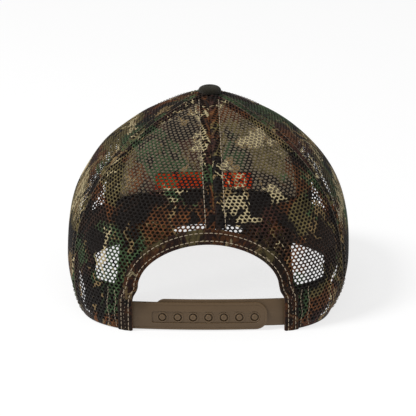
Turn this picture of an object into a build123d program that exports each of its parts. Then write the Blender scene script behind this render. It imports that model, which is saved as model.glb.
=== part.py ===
from build123d import *
import math
import os

# Trucker mesh cap with a snap strap. Millimetres, +Z up, visor towards -Y, rear opening towards +Y.
# The cap stands on its rear rim at z = 0, and its crown axis is the Z axis.

# Crown: half width, and half length behind and in front of the crown axis, all at the rim.
HALF_WIDTH = 87.5
HALF_BACK = 95.0
HALF_FRONT = 97.0
BACK_SQUARENESS = 3.55
FRONT_SQUARENESS = 2.3
CROWN_HEIGHT = 127.5
FRONT_RIM_RISE = 8.0
RIM_RISE_POWER = 1.5

# Crown side profile, as (back, side, front) values.
WIDEST_HEIGHT = (18.0, 29.0, 22.0)
RIM_TUCK = (0.5, 2.9, 0.0)
SHOULDER_POWER = (2.2, 2.44, 2.15)
TOP_POWER = (1.5, 1.29, 1.4)
LOWER_SHARE = 0.2
POLE_ANGLE = 84.0

# The rim curls in further at the two rear corners: how far, at which azimuth, and over what spread.
CORNER_TUCK = 7.3
CORNER_AZIMUTH = 70.0
CORNER_SPREAD = 24.0

# Panels and seams, in degrees from the back of the cap.
REAR_SEAM = 56.0
FRONT_SEAM = 138.0
SEAM_GAP = 0.12
MESH_THICKNESS = 0.9
LAYER_GAP = 0.1
BACKING_THICKNESS = 1.2
BACKING_INSET = 4.4
TAPE_WIDTH = 13.0
TAPE_THICKNESS = 0.7
DISC_RADIUS = 12.5

# Sweatband inside the rim.
BAND_HEIGHT = 26.0
BAND_THICKNESS = 1.8
BAND_DEPTH = 2.5
BAND_END = 35.0
BAND_ARCH = 30.0
BAND_LEAN = 13.0
BAND_LEAN_AZIMUTH = 68.0
BAND_LEAN_SPREAD = 22.0

# Rear opening: an arch over two straight hems.
ARCH_HALF_WIDTH = 43.0
ARCH_SPRING = 28.0
ARCH_RISE = 26.5
HEM_HALF_WIDTH = 46.5
HEM_TOP = 20.5
BINDING_WIDTH = 8.7
BINDING_THICKNESS = 0.75
BINDING_LAP = 0.8

# Button on top, with the rivet that holds it.
BUTTON_RADIUS = 7.25
BUTTON_TOP = 131.3
BUTTON_EDGE = 126.75
BUTTON_SEAT = 127.7
RIVET_RADIUS = 2.2
WASHER_RADIUS = 6.5
WASHER_THICKNESS = 0.8

# Visor, measured from the front rim.
VISOR_HALF_WIDTH = 86.0
VISOR_CENTRE = 50.0
VISOR_TIP = 168.0
VISOR_ROOT_SPREAD = 60.0
VISOR_EDGE_SPREAD = 86.0
VISOR_BOARD = 2.2
VISOR_COVER = 0.6
VISOR_ROOT_LIFT = 2.4
VISOR_TIP_HEIGHT = 13.5
VISOR_SIDE_HEIGHT = 2.6
VISOR_CLEARANCE = 0.3

# Snap strap: an outer strip with holes and an inner strip with pegs.
STRAP_HEIGHT = 17.2
STRAP_BOTTOM = 0.5
STRAP_THICKNESS = 1.4
STRAP_ROOT = 46.2
STRAP_GAP = 0.4
STRAP_DEPTH = 2.1
STRAP_SPACING = 1.8
STRAP_RADIUS = 440.0
OUTER_REACH = 36.0
INNER_REACH = 33.0
INNER_HEIGHT = 16.8
INNER_LIFT = 2.2
HOLE_COUNT = 7
HOLE_PITCH = 9.4
HOLE_RADIUS = 2.6
HOLE_HEIGHT = 8.6
PEG_RADIUS = 2.05
PEG_LENGTH = 1.9
RIM_WIDTH = 1.5
RIM_DEPTH = 0.35
PANEL_HALF_HEIGHT = 3.7
ANCHOR_LENGTH = 11.5

# Blank label sewn inside the front, just above the sweatband.
LABEL_WIDTH = 69.0
LABEL_OFFSET = 3.5
LABEL_BOTTOM = 35.2
LABEL_TOP = 47.6
LABEL_THICKNESS = 0.5


def blend(phi, values):
    """Mix (back, side, front) values smoothly round the crown."""
    back, side, front = values
    weight = math.cos(phi) ** 2
    end = back if math.cos(phi) > 0 else front
    return side * (1 - weight) + end * weight


def plan_radius(phi):
    """Rim radius in plan, in the direction phi from the back."""
    c, s = math.cos(phi), math.sin(phi)
    share = (1 - c) / 2
    power = BACK_SQUARENESS + (FRONT_SQUARENESS - BACK_SQUARENESS) * share
    length = HALF_BACK if c > 0 else HALF_FRONT
    return (abs(s / HALF_WIDTH) ** power + abs(c / length) ** power) ** (-1 / power)


def rim_height(phi):
    return FRONT_RIM_RISE * ((1 - math.cos(phi)) / 2) ** RIM_RISE_POWER


def corner_tuck(phi):
    """How much further the rim curls in at the rear corners."""
    azimuth = abs(math.degrees(math.atan2(math.sin(phi), math.cos(phi))))
    return CORNER_TUCK * math.exp(-((azimuth - CORNER_AZIMUTH) / CORNER_SPREAD) ** 2)


def crown_section(phi, v):
    """Radius and height on the crown's outer face: v = 0 at the rim and 1 at the top."""
    rim = rim_height(phi)
    widest = blend(phi, WIDEST_HEIGHT)
    tuck = blend(phi, RIM_TUCK)
    radius = plan_radius(phi) + tuck
    if v < LOWER_SHARE:
        z = rim + (widest - rim) * v / LOWER_SHARE
        curl = tuck + corner_tuck(phi)
        return radius - curl * ((widest - z) / (widest - rim)) ** 2, z
    angle = math.radians(POLE_ANGLE) * (v - LOWER_SHARE) / (1 - LOWER_SHARE)
    rise = math.sin(angle)
    shrink = 1 - rise ** blend(phi, SHOULDER_POWER)
    return radius * shrink ** (1 / blend(phi, TOP_POWER)), widest + (CROWN_HEIGHT - widest) * rise


def height_to_v(phi, z):
    """The v of the crown's outer face at height z."""
    rim = rim_height(phi)
    widest = blend(phi, WIDEST_HEIGHT)
    if z < widest:
        return LOWER_SHARE * (z - rim) / (widest - rim)
    angle = math.asin((z - widest) / (CROWN_HEIGHT - widest))
    return LOWER_SHARE + (1 - LOWER_SHARE) * angle / math.radians(POLE_ANGLE)


def surface_point(phi, v):
    r, z = crown_section(phi, v)
    return Vector(r * math.sin(phi), r * math.cos(phi), z)


def crown_point(phi, v, depth=0.0):
    """A point at a depth inside the crown's outer face."""
    step = 1e-3
    around = surface_point(phi + step, v) - surface_point(phi - step, v)
    up = surface_point(phi, min(v + step, 1.0)) - surface_point(phi, v - step)
    outward = up.cross(around).normalized()
    return surface_point(phi, v) - outward * depth


def smooth_face(grid):
    return Face.make_surface_from_array_of_points(grid, tol=0.02, min_deg=3, max_deg=5)


def slab(grid_outer, grid_inner):
    """A closed solid between two matching grids of points."""
    outer, inner = smooth_face(grid_outer), smooth_face(grid_inner)
    sides = [Face.make_surface_from_curves(a, b) for a, b in matched_edges(outer, inner)]
    return Solid(Shell([outer, inner] + sides))


def ruled_slab(outer, inner):
    """A closed solid between two matching grids of points, ruled from each column to the next."""
    ruled = Face.make_surface_from_curves
    front, back = [Spline(*column) for column in outer], [Spline(*column) for column in inner]
    faces = [ruled(front[0], back[0]), ruled(front[-1], back[-1])]
    for k in range(len(outer) - 1):
        faces += [ruled(front[k], front[k + 1]), ruled(back[k], back[k + 1])]
        for end in (0, -1):
            faces.append(ruled(Line(outer[k][end], outer[k + 1][end]), Line(inner[k][end], inner[k + 1][end])))
    return Solid(Shell(faces))


def matched_edges(face_a, face_b):
    """Pairs of boundary edges of two faces that lie next to each other."""
    pairs = []
    for edge in face_a.edges():
        middle = edge.position_at(0.5)
        pairs.append((edge, min(face_b.edges(), key=lambda e: (e.position_at(0.5) - middle).length)))
    return pairs


def patch(phi_from, phi_to, depth, thickness, v_low=None, v_high=None, columns=13, rows=17):
    """A curved piece of the crown: azimuths in degrees, v_low and v_high functions of azimuth."""
    v_low = v_low or (lambda phi: 0.0)
    v_high = v_high or (lambda phi: 1.0)

    def grid(at_depth):
        result = []
        for i in range(columns):
            phi = math.radians(phi_from + (phi_to - phi_from) * i / (columns - 1))
            low, high = v_low(phi), v_high(phi)
            result.append([crown_point(phi, low + (high - low) * j / (rows - 1), at_depth)
                           for j in range(rows)])
        return result

    return slab(grid(depth), grid(depth + thickness))


def level(z):
    """The v of a height that is the same all round."""
    return lambda phi: height_to_v(phi, z)


def rear_prism(grow):
    """The rear opening's outline, grown all round, as a prism along Y through the back."""
    plane = Plane.XZ.offset(-HALF_BACK * 0.6)
    hem, arch = HEM_HALF_WIDTH + grow, ARCH_HALF_WIDTH + grow
    below = -BINDING_WIDTH
    legs = Polygon((-hem, below), (hem, below), (hem, HEM_TOP), (arch, ARCH_SPRING), (-arch, ARCH_SPRING),
                   (-hem, HEM_TOP), align=None)
    arch_face = Pos(0, ARCH_SPRING) * Ellipse(arch, ARCH_RISE + grow)
    cutter = Rectangle(3 * hem, ARCH_SPRING, align=(Align.CENTER, Align.MAX))
    outline = legs + (arch_face - Pos(0, ARCH_SPRING) * cutter)
    return extrude(plane * outline, amount=-HALF_BACK * 0.6)


def seam_slab(phi_degrees, width):
    """An upright slab of a given width, from the crown axis out along an azimuth."""
    box = Box(width, 1.3 * HALF_FRONT, 2 * CROWN_HEIGHT, align=(Align.CENTER, Align.MIN, Align.CENTER))
    return Rot(0, 0, -phi_degrees) * box


def outside_disc(shape):
    """Cut away what lies over the reinforcing disc under the button."""
    return shape - Cylinder(DISC_RADIUS + 0.3, 3 * CROWN_HEIGHT)


def seam_tape(phi_degrees):
    spread = 28.0
    depth = MESH_THICKNESS + LAYER_GAP
    strip = patch(phi_degrees - spread, phi_degrees + spread, depth, TAPE_THICKNESS)
    return outside_disc(strip & seam_slab(phi_degrees, TAPE_WIDTH))


def crown_panels():
    """The front panel and the four mesh panels, meeting at the seams."""
    half = SEAM_GAP / 2
    opening = rear_prism(BINDING_LAP + LAYER_GAP)
    panels = {
        "front_panel": patch(FRONT_SEAM + half, 360 - FRONT_SEAM - half, 0, MESH_THICKNESS, columns=25),
    }
    for side, sign in (("left", 1), ("right", -1)):
        rear, front = sign * REAR_SEAM, sign * FRONT_SEAM
        gap = sign * half
        panels[f"back_mesh_{side}"] = patch(gap, rear - gap, 0, MESH_THICKNESS) - opening
        panels[f"side_mesh_{side}"] = patch(rear + gap, front - gap, 0, MESH_THICKNESS)
    return panels


def front_backing():
    """The stiff lining that keeps the front panel upright."""
    edge = FRONT_SEAM + BACKING_INSET
    backing = patch(edge, 360 - edge, MESH_THICKNESS + LAYER_GAP, BACKING_THICKNESS, columns=25)
    for sign in (1, -1):
        backing = backing - seam_slab(sign * FRONT_SEAM, TAPE_WIDTH + 4 * LAYER_GAP)
    return outside_disc(backing)


def seam_tapes():
    tapes = {"back_seam_tape": seam_tape(0) - rear_prism(BINDING_WIDTH + 0.2)}
    for side, sign in (("left", 1), ("right", -1)):
        tapes[f"rear_{side}_seam_tape"] = seam_tape(sign * REAR_SEAM)
        tapes[f"front_{side}_seam_tape"] = seam_tape(sign * FRONT_SEAM)
    return tapes


def crown_height_at(radius, phi):
    """Height of the crown's outer face at a radius near the top."""
    full = plan_radius(phi) + blend(phi, RIM_TUCK)
    rise = (1 - (radius / full) ** blend(phi, TOP_POWER)) ** (1 / blend(phi, SHOULDER_POWER))
    widest = blend(phi, WIDEST_HEIGHT)
    return widest + (CROWN_HEIGHT - widest) * rise


def top_disc():
    """The round reinforcement under the button, inside the crown."""
    steps = 6
    inner = RIVET_RADIUS + 0.4
    radii = [inner + (DISC_RADIUS - inner) * i / steps for i in range(steps + 1)]
    lowest = [min(crown_height_at(r, math.radians(a)) for a in range(0, 360, 30)) for r in radii]
    drop = MESH_THICKNESS + 0.35
    top = [Vector(r, 0, z - drop) for r, z in zip(radii, lowest)]
    bottom = [Vector(r, 0, z - drop - TAPE_THICKNESS) for r, z in zip(radii, lowest)]
    outline = [Spline(*top), Line(top[-1], bottom[-1]), Spline(*reversed(bottom)), Line(bottom[0], top[0])]
    return revolve(make_face(Plane.XZ * Plane.XZ.to_local_coords(Wire(outline))), Axis.Z)


def arch_binding():
    """The folded tape round the rear opening: two faces, joined over the mesh panels' cut edge."""
    top = level(ARCH_SPRING + ARCH_RISE + BINDING_WIDTH + 3)
    reach = 42.0
    lap = BINDING_THICKNESS + LAYER_GAP
    whole = patch(-reach, reach, -lap, MESH_THICKNESS + 2 * lap, v_high=top, columns=21)
    inside = patch(-reach, reach, -LAYER_GAP, MESH_THICKNESS + 2 * LAYER_GAP, v_low=lambda phi: -0.02,
                   v_high=top, columns=21)
    ring = rear_prism(BINDING_WIDTH) - rear_prism(0)
    return (whole & ring) - (inside - rear_prism(BINDING_LAP))


def band_foot(phi):
    """The v of the sweatband's lower edge: it hangs to the table beside the raised front rim."""
    across = plan_radius(phi) * math.sin(phi)
    arch = FRONT_RIM_RISE * math.exp(-(across / BAND_ARCH) ** 4) if math.cos(phi) < 0 else 0.0
    return height_to_v(phi, 0.2 + min(arch, rim_height(phi)))


def band_point(phi, share, depth):
    """A point of the sweatband: share runs up it. At the rear corners it leans inwards."""
    low, high = band_foot(phi), height_to_v(phi, rim_height(phi) + BAND_HEIGHT)
    from_back = 180 - abs(180 - math.degrees(phi))
    lean = BAND_LEAN * math.exp(-((from_back - BAND_LEAN_AZIMUTH) / BAND_LEAN_SPREAD) ** 2)
    lean = lean * (0.1 + 0.9 * share)
    return crown_point(phi, low + (high - low) * share, depth + lean)


def sweatband():
    """The band inside the rim, from one end of the rear opening round the front to the other."""
    columns, rows = 61, 7
    around = [math.radians(BAND_END + (360 - 2 * BAND_END) * i / (columns - 1)) for i in range(columns)]

    def grid(depth):
        return [[band_point(phi, j / (rows - 1), depth) for j in range(rows)] for phi in around]

    return ruled_slab(grid(BAND_DEPTH), grid(BAND_DEPTH + BAND_THICKNESS))


def front_label():
    """A blank label on the lining of the front panel."""
    depth = MESH_THICKNESS + BACKING_THICKNESS + 2 * LAYER_GAP
    half = math.degrees(LABEL_WIDTH / 2 / HALF_FRONT)
    middle = 180 - math.degrees(LABEL_OFFSET / HALF_FRONT)
    return patch(middle - half, middle + half, depth, LABEL_THICKNESS, v_low=level(LABEL_BOTTOM),
                 v_high=level(LABEL_TOP), columns=9, rows=5)


def button_cap():
    """The covered button: a low dome with a rounded edge, on the crown's peak."""
    edge = BUTTON_RADIUS
    crown = [(0, BUTTON_TOP), (0.62 * edge, BUTTON_TOP - 0.8), (edge, BUTTON_EDGE + 1.5)]
    points = [Vector(r, 0, z) for r, z in crown]
    dome = Spline(*points, tangents=((1, 0, 0), (0.1, 0, -1)))
    side = Line(points[-1], (edge, 0, BUTTON_EDGE))
    seat = Line((edge, 0, BUTTON_EDGE), (0, 0, BUTTON_SEAT))
    axis = Line((0, 0, BUTTON_SEAT), points[0])
    return revolve(make_face(Wire([dome, side, seat, axis])), Axis.Z)


def button_rivet():
    """The rivet under the button and the washer that holds it inside the crown."""
    washer_top = CROWN_HEIGHT - 5.6
    below, above = (Align.CENTER, Align.CENTER, Align.MAX), (Align.CENTER, Align.CENTER, Align.MIN)
    washer = Pos(0, 0, washer_top) * Cylinder(WASHER_RADIUS, WASHER_THICKNESS, align=below)
    shank = Pos(0, 0, washer_top) * Cylinder(RIVET_RADIUS, BUTTON_EDGE + 0.2 - washer_top, align=above)
    return fillet((washer + shank).edges().sort_by(Axis.Z)[0], 0.3)


def visor_point(u, w, lift):
    """A point of the visor: u from -1 to 1 across it, w from 0 at the crown to 1 at the edge."""
    phi = math.pi - math.radians(VISOR_ROOT_SPREAD) * u
    v = height_to_v(phi, rim_height(phi) + VISOR_ROOT_LIFT + lift)
    root = crown_point(phi, v, -VISOR_CLEARANCE)
    turn = math.radians(VISOR_EDGE_SPREAD) * u
    side = math.copysign(abs(math.sin(turn)) ** 0.86, u) * VISOR_HALF_WIDTH
    reach = VISOR_CENTRE + (VISOR_TIP - VISOR_CENTRE) * math.cos(turn) ** 0.9
    edge_height = VISOR_SIDE_HEIGHT + (VISOR_TIP_HEIGHT - VISOR_SIDE_HEIGHT) * math.cos(turn) ** 1.3
    edge = Vector(side, -reach, edge_height + lift)
    return root + (edge - root) * w


def visor_slab(w_from, w_to, bottom, top, span=1.0, columns=33, rows=7):
    across = [span * (2 * i / (columns - 1) - 1) for i in range(columns)]
    along = [w_from + (w_to - w_from) * j / (rows - 1) for j in range(rows)]

    def grid(lift):
        return [[visor_point(u, w, lift) for w in along] for u in across]
    return slab(grid(bottom), grid(top))


def visor():
    """The stiff board, the fabric covers above and below it, and the cord in the outer edge."""
    half = VISOR_BOARD / 2
    skin = half + LAYER_GAP
    return {
        "visor_board": visor_slab(0, 0.955, -half, half, span=0.97),
        "visor_edge_cord": visor_slab(0.965, 1, -half, half, rows=4),
        "visor_top_cover": visor_slab(0, 1, skin, skin + VISOR_COVER),
        "visor_under_cover": visor_slab(0, 1, -skin - VISOR_COVER, -skin),
    }


def strap_strip(x_from, x_to, depth, bottom, height):
    """A length of strap, curved about an upright axis, with its outer face at a depth."""
    axis_y = HALF_BACK - depth - STRAP_RADIUS
    above = (Align.CENTER, Align.CENTER, Align.MIN)
    solid = Pos(0, axis_y, bottom) * Cylinder(STRAP_RADIUS, height, align=above)
    core = Pos(0, axis_y, bottom - 1) * Cylinder(STRAP_RADIUS - STRAP_THICKNESS, height + 2, align=above)
    window = Pos((x_from + x_to) / 2, HALF_BACK, bottom + height / 2) * Box(x_to - x_from, 40, height + 1)
    return (solid - core) & window


def row_prism(x_from, x_to, bottom, top, near, far, round_left, round_right):
    """A bar along X with its far corners rounded, between two values of y."""
    width, height = x_to - x_from, top - bottom
    bar = Pos((x_from + x_to) / 2, (near + far) / 2, (bottom + top) / 2) * Box(width, far - near, height)
    for at_end, radius in ((x_from, round_left), (x_to, round_right)):
        if radius:
            corners = [e for e in bar.edges().filter_by(Axis.Y) if abs(e.center().X - at_end) < 1e-3]
            bar = fillet(corners, radius)
    return bar


def hole_places():
    first = -HOLE_PITCH * (HOLE_COUNT - 1) / 2
    return [first + HOLE_PITCH * i for i in range(HOLE_COUNT)]


def row_of_pins(radius, near, far):
    """Round bars along Y at the hole places, between two values of y."""
    pin = Rot(90, 0, 0) * Cylinder(radius, far - near)
    return [Pos(x, (near + far) / 2, HOLE_HEIGHT) * pin for x in hole_places()]


def snap_strap_holes():
    """The outer strip: rooted on the wearer's left, with the row of holes in a sunk panel."""
    face = HALF_BACK - STRAP_DEPTH
    strip = strap_strip(-OUTER_REACH, STRAP_ROOT, STRAP_DEPTH, STRAP_BOTTOM, STRAP_HEIGHT)
    outline = row_prism(-OUTER_REACH, STRAP_ROOT, STRAP_BOTTOM, STRAP_BOTTOM + STRAP_HEIGHT,
                        face - 20, face + 5, 7.0, 0)
    strip = strip & outline
    panel_from, panel_to = 4.3 - OUTER_REACH, STRAP_ROOT - 11.5
    sunk = strap_strip(panel_from, panel_to, STRAP_DEPTH - STRAP_THICKNESS + RIM_DEPTH, 0, 2 * STRAP_HEIGHT)
    panel = row_prism(panel_from, panel_to, HOLE_HEIGHT - PANEL_HALF_HEIGHT, HOLE_HEIGHT + PANEL_HALF_HEIGHT,
                      face - 20, face + 5, 3.6, 0.8)
    strip = strip - (sunk & panel)
    for pin in row_of_pins(HOLE_RADIUS, face - 12, face + 5):
        strip = strip - pin
    return strip


def snap_strap_pegs():
    """The inner strip: rooted on the wearer's right, with pegs that stand in the holes."""
    depth = STRAP_DEPTH + STRAP_SPACING
    face = HALF_BACK - depth
    strip = strap_strip(-STRAP_ROOT, INNER_REACH, depth, INNER_LIFT, INNER_HEIGHT)
    outline = row_prism(-STRAP_ROOT, INNER_REACH, INNER_LIFT, INNER_LIFT + INNER_HEIGHT,
                        face - 20, face + 5, 0, 6.0)
    strip = strip & outline
    for x in hole_places():
        sag = STRAP_RADIUS - math.sqrt(STRAP_RADIUS ** 2 - x ** 2)
        rooted = (Align.CENTER, Align.CENTER, Align.MAX)
        peg = Rot(90, 0, 0) * Cylinder(PEG_RADIUS, PEG_LENGTH + 0.6, align=rooted)
        tip = fillet(peg.edges().sort_by(Axis.Y)[-1], 0.7)
        strip = strip + Pos(x, face - sag - 0.6, HOLE_HEIGHT) * tip
    return strip


def strap_anchor(sign, depth, thickness, bottom, height):
    """The root of a strap, sewn in behind the hem."""
    sag = STRAP_RADIUS - math.sqrt(STRAP_RADIUS ** 2 - STRAP_ROOT ** 2)
    root = STRAP_ROOT + STRAP_GAP + 0.15 * thickness
    start = math.degrees(math.atan2(root, HALF_BACK - depth - sag))
    end = start + math.degrees(ANCHOR_LENGTH / math.hypot(HALF_BACK, STRAP_ROOT))
    return patch(sign * start, sign * end, depth, thickness, v_low=level(bottom),
                 v_high=level(bottom + height), columns=5, rows=5)


def build():
    parts = crown_panels()
    parts["front_panel_backing"] = front_backing()
    parts.update(seam_tapes())
    parts["crown_disc"] = top_disc()
    parts["button_cap"] = button_cap()
    parts["button_rivet"] = button_rivet()
    parts["arch_binding"] = arch_binding()
    parts["sweatband"] = sweatband()
    parts["front_inner_label"] = front_label()
    parts.update(visor())
    parts["snap_strap_holes"] = snap_strap_holes()
    parts["snap_strap_pegs"] = snap_strap_pegs()
    parts["left_strap_anchor"] = strap_anchor(1, STRAP_DEPTH, STRAP_THICKNESS, STRAP_BOTTOM, STRAP_HEIGHT)
    parts["right_strap_anchor"] = strap_anchor(-1, STRAP_DEPTH, STRAP_THICKNESS + STRAP_SPACING,
                                               INNER_LIFT, INNER_HEIGHT)
    return parts


os.makedirs("parts", exist_ok=True)
for name, shape in build().items():
    solids = shape.solids()
    export_step(solids[0] if len(solids) == 1 else Compound(solids), f"parts/{name}.step")
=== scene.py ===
"""Trucker mesh cap with a snap strap: the looks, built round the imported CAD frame.

Shapes are worked out in millimetres in the frame's axes (+Z up, visor towards -Y, rear opening
towards +Y) and scaled to metres when a mesh is made. phi is the azimuth round the crown from the
back towards +X, v runs from 0 at the rim to 1 at the top, and depth is measured into the cap.
"""
import math

import bmesh
import bpy
import numpy as np
from mathutils import Matrix, Vector


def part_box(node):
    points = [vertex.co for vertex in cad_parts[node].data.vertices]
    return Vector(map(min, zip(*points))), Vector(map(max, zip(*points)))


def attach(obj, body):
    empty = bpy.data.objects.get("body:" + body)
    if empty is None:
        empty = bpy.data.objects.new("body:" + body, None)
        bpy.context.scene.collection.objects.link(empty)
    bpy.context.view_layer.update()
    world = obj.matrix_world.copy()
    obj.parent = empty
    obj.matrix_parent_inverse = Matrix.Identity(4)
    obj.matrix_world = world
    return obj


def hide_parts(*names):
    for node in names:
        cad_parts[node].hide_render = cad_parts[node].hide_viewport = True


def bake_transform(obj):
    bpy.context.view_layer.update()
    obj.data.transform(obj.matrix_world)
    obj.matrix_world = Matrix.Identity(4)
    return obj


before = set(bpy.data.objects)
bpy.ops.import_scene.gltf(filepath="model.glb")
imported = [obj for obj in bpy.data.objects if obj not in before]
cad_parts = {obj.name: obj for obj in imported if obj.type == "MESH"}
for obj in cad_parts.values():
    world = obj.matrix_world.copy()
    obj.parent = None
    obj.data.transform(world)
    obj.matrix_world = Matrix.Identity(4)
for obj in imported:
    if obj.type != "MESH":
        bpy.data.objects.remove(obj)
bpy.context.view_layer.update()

MM = 0.001


def node_box(name):
    low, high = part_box(name)
    return np.array(low) / MM, np.array(high) / MM


# ---------------------------------------------------------------- crown, as in the CAD model
HALF_WIDTH, HALF_BACK, HALF_FRONT = 87.5, 95.0, 97.0
BACK_SQUARENESS, FRONT_SQUARENESS = 3.55, 2.3
CROWN_HEIGHT = 127.5
FRONT_RIM_RISE, RIM_RISE_POWER = 8.0, 1.5
WIDEST_HEIGHT = (18.0, 29.0, 22.0)
RIM_TUCK = (0.5, 2.9, 0.0)
SHOULDER_POWER = (2.2, 2.44, 2.15)
TOP_POWER = (1.5, 1.29, 1.4)
CORNER_TUCK, CORNER_UNEVEN = 7.3, 2.4
CORNER_AZIMUTH, CORNER_SPREAD = math.radians(70.0), math.radians(24.0)
LOWER_SHARE = 0.2
POLE_ANGLE = math.radians(84.0)

REAR_SEAM, FRONT_SEAM = math.radians(56.0), math.radians(138.0)
SEAMS = (0.0, REAR_SEAM, -REAR_SEAM, FRONT_SEAM, -FRONT_SEAM)
MESH_THICKNESS = 0.9

ARCH_HALF_WIDTH, ARCH_SPRING, ARCH_RISE = 43.0, 28.0, 26.5
HEM_HALF_WIDTH = 46.5
BINDING_WIDTH = 8.7


def blend(phi, values):
    back, side, front = values
    weight = np.cos(phi) ** 2
    return side * (1 - weight) + np.where(np.cos(phi) > 0, back, front) * weight


def plan_radius(phi):
    c, s = np.cos(phi), np.sin(phi)
    power = BACK_SQUARENESS + (FRONT_SQUARENESS - BACK_SQUARENESS) * (1 - c) / 2
    length = np.where(c > 0, HALF_BACK, HALF_FRONT)
    return (np.abs(s / HALF_WIDTH) ** power + np.abs(c / length) ** power) ** (-1 / power)


def corner_tuck(phi):
    """How much further the rim curls in at the rear corners; handling left the two sides uneven."""
    turned = np.angle(np.exp(1j * np.asarray(phi, float)))
    amount = CORNER_TUCK - CORNER_UNEVEN * np.tanh(turned * 4)
    return amount * np.exp(-((np.abs(turned) - CORNER_AZIMUTH) / CORNER_SPREAD) ** 2)


def rim_height(phi):
    return FRONT_RIM_RISE * ((1 - np.cos(phi)) / 2) ** RIM_RISE_POWER


def bare_crown(phi, v):
    """Points of the crown's smooth outer face."""
    phi, v = np.broadcast_arrays(np.asarray(phi, float), np.asarray(v, float))
    rim, widest, tuck = rim_height(phi), blend(phi, WIDEST_HEIGHT), blend(phi, RIM_TUCK)
    radius = plan_radius(phi) + tuck
    low_z = rim + (widest - rim) * v / LOWER_SHARE
    low_r = radius - (tuck + corner_tuck(phi)) * ((widest - low_z) / (widest - rim)) ** 2
    angle = POLE_ANGLE * np.clip(v - LOWER_SHARE, 0, None) / (1 - LOWER_SHARE)
    rise = np.sin(angle)
    shrink = np.clip(1 - rise ** blend(phi, SHOULDER_POWER), 1e-9, 1)
    r = np.where(v < LOWER_SHARE, low_r, radius * shrink ** (1 / blend(phi, TOP_POWER)))
    z = np.where(v < LOWER_SHARE, low_z, widest + (CROWN_HEIGHT - widest) * rise)
    return np.stack([r * np.sin(phi), r * np.cos(phi), z], -1)


def unit(vectors):
    return vectors / np.maximum(np.linalg.norm(vectors, axis=-1, keepdims=True), 1e-12)


def outward(phi, v):
    step = 1e-3
    around = bare_crown(phi + step, v) - bare_crown(phi - step, v)
    up = bare_crown(phi, np.minimum(v + step, 1)) - bare_crown(phi, v - step)
    return unit(np.cross(up, around))


SEAM_LEAN, LEAN_FROM, LEAN_TO = 5.0, 128.0, 55.0


def seam_azimuth(seam, v):
    """A seam's azimuth at a height; the back seam leans to the wearer's right as it comes down."""
    v = np.asarray(v, float)
    if seam != 0.0:
        return np.full_like(v, seam)
    point = bare_crown(np.zeros_like(v), v)
    share = np.clip((LEAN_FROM - point[..., 2]) / (LEAN_FROM - LEAN_TO), 0, 1)
    return -np.arcsin(np.clip(SEAM_LEAN * share / np.maximum(point[..., 1], 1), -0.9, 0.9))


# A seam's section: (distance from the seam, half width, lift) of its groove, pads and stitch creases.
SEAM_SECTION = ((0.0, 0.9, -0.65), (3.0, 1.7, 0.45), (6.0, 0.7, -0.2))
CALM_RADIUS = 40.0


def relief(phi, v, point):
    """How far sewing and handling move the cloth out from the smooth crown."""
    x, y, z = point[..., 0], point[..., 1], point[..., 2]
    radius = np.hypot(x, y)
    total = 0.35 * np.sin(x / 13 + 0.6) * np.sin(z / 17 + y / 31) + 0.25 * np.sin(x / 7 - z / 9 + 2.0)
    total = total * np.clip(radius / CALM_RADIUS, 0, 1)
    for seam in SEAMS:
        gap = np.abs(np.angle(np.exp(1j * (phi - seam_azimuth(seam, v))))) * radius
        for distance, half_width, lift in SEAM_SECTION:
            total = total + lift * np.exp(-((gap - distance) / half_width) ** 2)
    return total


def crown(phi, v, depth=0.0):
    """Points at a depth inside the sewn crown's outer face."""
    point = bare_crown(phi, v)
    lift = relief(phi, v, point) - depth
    return point + outward(phi, v) * np.asarray(lift)[..., None]


def v_at_height(phi, z):
    rim, widest = rim_height(phi), blend(phi, WIDEST_HEIGHT)
    share = np.clip((z - widest) / (CROWN_HEIGHT - widest), 0, 0.9975)
    high = LOWER_SHARE + (1 - LOWER_SHARE) * np.arcsin(share) / POLE_ANGLE
    return np.where(z < widest, LOWER_SHARE * (z - rim) / (widest - rim), high)


def back_place(x, z):
    """The (phi, v) of the back of the crown seen square on at (x, z)."""
    x, z = np.broadcast_arrays(np.asarray(x, float), np.asarray(z, float))
    phi = np.arctan2(x, HALF_BACK)
    for _ in range(30):
        point = bare_crown(phi, v_at_height(phi, z))
        radius = np.hypot(point[..., 0], point[..., 1])
        phi = np.arcsin(np.clip(x / radius, -0.999, 0.999))
    return phi, v_at_height(phi, z)


# ---------------------------------------------------------------- mesh helpers
def make_object(name, points, faces, material, smooth=True):
    """points in millimetres; faces a list of index tuples or an (n, 4) array."""
    mesh = bpy.data.meshes.new(name)
    faces = faces.tolist() if isinstance(faces, np.ndarray) else faces
    mesh.from_pydata((np.asarray(points) * MM).tolist(), [], faces)
    mesh.materials.append(material)
    mesh.polygons.foreach_set("use_smooth", [smooth] * len(mesh.polygons))
    mesh.update()
    piece = bpy.data.objects.new(name, mesh)
    bpy.context.scene.collection.objects.link(piece)
    return piece


def grid_faces(rows, columns, start=0, wrap=False):
    """Quads of a grid whose points run column by column."""
    i, j = np.meshgrid(np.arange(rows - 1), np.arange(columns if wrap else columns - 1), indexing="ij")
    k = (j + 1) % columns
    return np.stack([i * columns + j, i * columns + k, (i + 1) * columns + k, (i + 1) * columns + j],
                    -1).reshape(-1, 4) + start


def sheet(name, place, thickness, material, rows, columns, depth=0.0, edge=0.35):
    """A sheet of cloth of even thickness with softly rounded edges.

    place(a, b) gives (phi, v) for a and b from 0 to 1.
    """
    return shell(name, lambda a, b, d: crown(*place(a, b), d), thickness, material, rows, columns, depth,
                 edge)


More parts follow.
